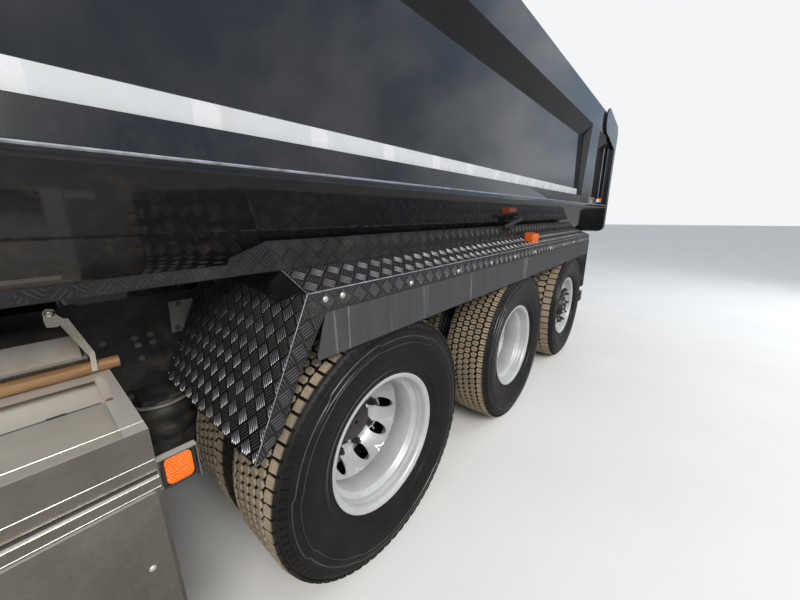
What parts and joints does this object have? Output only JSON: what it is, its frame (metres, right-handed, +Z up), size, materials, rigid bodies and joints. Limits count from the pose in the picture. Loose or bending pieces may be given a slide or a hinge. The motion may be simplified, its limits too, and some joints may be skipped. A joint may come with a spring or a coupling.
{
  "type": "dump truck",
  "caption": "Forward-control dump truck with dual-tyre drive axles, steered rear axle, half-pipe tipping body, tread-plate fenders and a side toolbox.",
  "frame": {"origin": "on the ground, below the middle of the vehicle's length and width", "axes": "+X forward, +Y to the vehicle's left, +Z up"},
  "size_m": [9.1, 3, 2.9498],
  "materials": {
    "frame_black": "satin black chassis paint with road dust",
    "axle_black": "painted cast steel under road dirt",
    "bellows_rubber": "matt black rubber",
    "engine_grey": "painted cast iron",
    "tank_aluminium": "brushed aluminium",
    "toolbox_steel": "polished stainless sheet",
    "shovel_steel": "worn bare steel",
    "handle_wood": "weathered wood",
    "tread_plate": "gloss black painted tread plate",
    "skirt_plastic": "matt grey, smooth",
    "flap_rubber": "black rubber with dirt",
    "lamp_red": "red lens",
    "bumper_plastic": "grained plastic",
    "lamp_clear": "clear lens",
    "guard_plastic": "grained plastic",
    "lamp_amber": "amber lens",
    "cab_paint": "gloss black paint",
    "glass": "tinted glass",
    "grille_black": "black",
    "mirror_black": "black",
    "interior_dark": "dark grey trim",
    "body_paint": "deep gloss black paint",
    "cylinder_paint": "black paint",
    "cylinder_chrome": "hard chrome",
    "tyre_rubber": "black rubber, dusty tread",
    "rim_silver": "silver paint under dirt"
  },
  "bodies": {
    "chassis": {"chassis_frame": "frame_black", "subframe": "frame_black", "front_suspension": "axle_black", "drive_axles": "axle_black", "air_bellows": "bellows_rubber", "tag_axle": "axle_black", "powertrain": "engine_grey", "side_tanks": "tank_aluminium", "toolbox": "toolbox_steel", "shovel": "shovel_steel", "shovel_handle": "handle_wood", "fenders": "tread_plate", "fender_skirts": "skirt_plastic", "mudflaps": "flap_rubber", "rear_underrun": "frame_black", "rear_lamps": "lamp_red", "front_bumper": "bumper_plastic", "headlamps": "lamp_clear", "front_mudguards": "guard_plastic", "marker_lamps": "lamp_amber", "tow_jaw": "frame_black"},
    "cab": {"cab_shell": "cab_paint", "windscreen": "glass", "grille": "grille_black", "mirrors": "mirror_black", "cab_interior": "interior_dark"},
    "left_door": {"door_left": "cab_paint", "door_glass_left": "glass"},
    "right_door": {"door_right": "cab_paint", "door_glass_right": "glass"},
    "dump_body": {"dump_hull": "body_paint", "dump_frame": "body_paint"},
    "tailgate": {"tailgate": "body_paint"},
    "toolbox_door": {"toolbox_door": "toolbox_steel"},
    "lift_tube": {"lift_tube": "cylinder_paint"},
    "lift_stage_1": {"lift_stage_1": "cylinder_chrome"},
    "lift_stage_2": {"lift_stage_2": "cylinder_chrome"},
    "lift_stage_3": {"lift_stage_3": "cylinder_chrome"},
    "lift_stage_4": {"lift_stage_4": "cylinder_chrome"},
    "lift_stage_5": {"lift_stage_5": "cylinder_chrome"},
    "knuckle_front_left": {"knuckle_front_left": "axle_black"},
    "knuckle_front_right": {"knuckle_front_right": "axle_black"},
    "knuckle_tag_left": {"knuckle_tag_left": "axle_black"},
    "knuckle_tag_right": {"knuckle_tag_right": "axle_black"},
    "wheel_front_left": {"tyre_front_left": "tyre_rubber", "rim_front_left": "rim_silver"},
    "wheel_front_right": {"tyre_front_right": "tyre_rubber", "rim_front_right": "rim_silver"},
    "wheel_drive_1_left": {"tyre_drive_1_left": "tyre_rubber", "rim_drive_1_left": "rim_silver"},
    "wheel_drive_1_right": {"tyre_drive_1_right": "tyre_rubber", "rim_drive_1_right": "rim_silver"},
    "wheel_drive_2_left": {"tyre_drive_2_left": "tyre_rubber", "rim_drive_2_left": "rim_silver"},
    "wheel_drive_2_right": {"tyre_drive_2_right": "tyre_rubber", "rim_drive_2_right": "rim_silver"},
    "wheel_tag_left": {"tyre_tag_left": "tyre_rubber", "rim_tag_left": "rim_silver"},
    "wheel_tag_right": {"tyre_tag_right": "tyre_rubber", "rim_tag_right": "rim_silver"}
  },
  "joints": [
    {"name": "steer_front_left", "type": "hinge", "parent": "chassis", "child": "knuckle_front_left", "pos_m": [3.15, 0.92, 0.538], "axis": [0, 0, 1], "range_deg": [-35, 35]},
    {"name": "steer_front_right", "type": "hinge", "parent": "chassis", "child": "knuckle_front_right", "pos_m": [3.15, -0.92, 0.538], "axis": [0, 0, 1], "range_deg": [-35, 35]},
    {"name": "steer_tag_left", "type": "hinge", "parent": "chassis", "child": "knuckle_tag_left", "pos_m": [-3.205, 0.94, 0.538], "axis": [0, 0, 1], "range_deg": [-12, 12]},
    {"name": "steer_tag_right", "type": "hinge", "parent": "chassis", "child": "knuckle_tag_right", "pos_m": [-3.205, -0.94, 0.538], "axis": [0, 0, 1], "range_deg": [-12, 12]},
    {"name": "roll_front_left", "type": "hinge", "parent": "knuckle_front_left", "child": "wheel_front_left", "pos_m": [3.15, 1.04, 0.538], "axis": [0, 1, 0], "continuous": true},
    {"name": "roll_front_right", "type": "hinge", "parent": "knuckle_front_right", "child": "wheel_front_right", "pos_m": [3.15, -1.04, 0.538], "axis": [0, 1, 0], "continuous": true},
    {"name": "roll_drive_1_left", "type": "hinge", "parent": "chassis", "child": "wheel_drive_1_left", "pos_m": [-0.45, 0.935, 0.538], "axis": [0, 1, 0], "continuous": true},
    {"name": "roll_drive_1_right", "type": "hinge", "parent": "chassis", "child": "wheel_drive_1_right", "pos_m": [-0.45, -0.935, 0.538], "axis": [0, 1, 0], "continuous": true},
    {"name": "roll_drive_2_left", "type": "hinge", "parent": "chassis", "child": "wheel_drive_2_left", "pos_m": [-1.815, 0.935, 0.538], "axis": [0, 1, 0], "continuous": true},
    {"name": "roll_drive_2_right", "type": "hinge", "parent": "chassis", "child": "wheel_drive_2_right", "pos_m": [-1.815, -0.935, 0.538], "axis": [0, 1, 0], "continuous": true},
    {"name": "roll_tag_left", "type": "hinge", "parent": "knuckle_tag_left", "child": "wheel_tag_left", "pos_m": [-3.205, 1.062, 0.538], "axis": [0, 1, 0], "continuous": true},
    {"name": "roll_tag_right", "type": "hinge", "parent": "knuckle_tag_right", "child": "wheel_tag_right", "pos_m": [-3.205, -1.062, 0.538], "axis": [0, 1, 0], "continuous": true},
    {"name": "dump_tilt", "type": "hinge", "parent": "chassis", "child": "dump_body", "pos_m": [-3.85, 0, 1.1], "axis": [0, -1, 0], "range_deg": [0, 50]},
    {"name": "tailgate_swing", "type": "hinge", "parent": "dump_body", "child": "tailgate", "pos_m": [-3.93, 0, 2.42], "axis": [0, 1, 0], "range_deg": [0, 70]},
    {"name": "cab_tilt", "type": "hinge", "parent": "chassis", "child": "cab", "pos_m": [4.45, 0, 1.01], "axis": [0, 1, 0], "range_deg": [0, 60]},
    {"name": "left_door_swing", "type": "hinge", "parent": "cab", "child": "left_door", "pos_m": [4.206, 1.24, 1.97], "axis": [0, 0, -1], "range_deg": [0, 70]},
    {"name": "right_door_swing", "type": "hinge", "parent": "cab", "child": "right_door", "pos_m": [4.206, -1.24, 1.97], "axis": [0, 0, 1], "range_deg": [0, 70]},
    {"name": "toolbox_door_drop", "type": "hinge", "parent": "chassis", "child": "toolbox_door", "pos_m": [0.955, 1.25465, 0.338], "axis": [-1, 0, 0], "range_deg": [0, 100]},
    {"name": "lift_tube_tilt", "type": "hinge", "parent": "chassis", "child": "lift_tube", "pos_m": [2.52, 0, 0.84], "axis": [0, -1, 0], "range_deg": [0, 25.48]},
    {"name": "lift_slide_1", "type": "slide", "parent": "lift_tube", "child": "lift_stage_1", "axis": [-0.0656, 0, 0.9978], "range_m": [0, 1.039]},
    {"name": "lift_slide_2", "type": "slide", "parent": "lift_stage_1", "child": "lift_stage_2", "axis": [-0.0656, 0, 0.9978], "range_m": [0, 1.039]},
    {"name": "lift_slide_3", "type": "slide", "parent": "lift_stage_2", "child": "lift_stage_3", "axis": [-0.0656, 0, 0.9978], "range_m": [0, 1.039]},
    {"name": "lift_slide_4", "type": "slide", "parent": "lift_stage_3", "child": "lift_stage_4", "axis": [-0.0656, 0, 0.9978], "range_m": [0, 1.039]},
    {"name": "lift_slide_5", "type": "slide", "parent": "lift_stage_4", "child": "lift_stage_5", "axis": [-0.0656, 0, 0.9978], "range_m": [0, 1.039]}
  ],
  "couplings": [
    {"joint": "steer_front_right", "follows": "steer_front_left", "ratio": 1},
    {"joint": "steer_tag_left", "follows": "steer_front_left", "ratio": -0.34},
    {"joint": "steer_tag_right", "follows": "steer_front_left", "ratio": -0.34},
    {"joint": "lift_tube_tilt", "follows": "dump_tilt", "ratio": 0.5095},
    {"joint": "lift_slide_1", "follows": "dump_tilt", "m_per_rad": 1.1906},
    {"joint": "lift_slide_2", "follows": "dump_tilt", "m_per_rad": 1.1906},
    {"joint": "lift_slide_3", "follows": "dump_tilt", "m_per_rad": 1.1906},
    {"joint": "lift_slide_4", "follows": "dump_tilt", "m_per_rad": 1.1906},
    {"joint": "lift_slide_5", "follows": "dump_tilt", "m_per_rad": 1.1906}
  ]
}
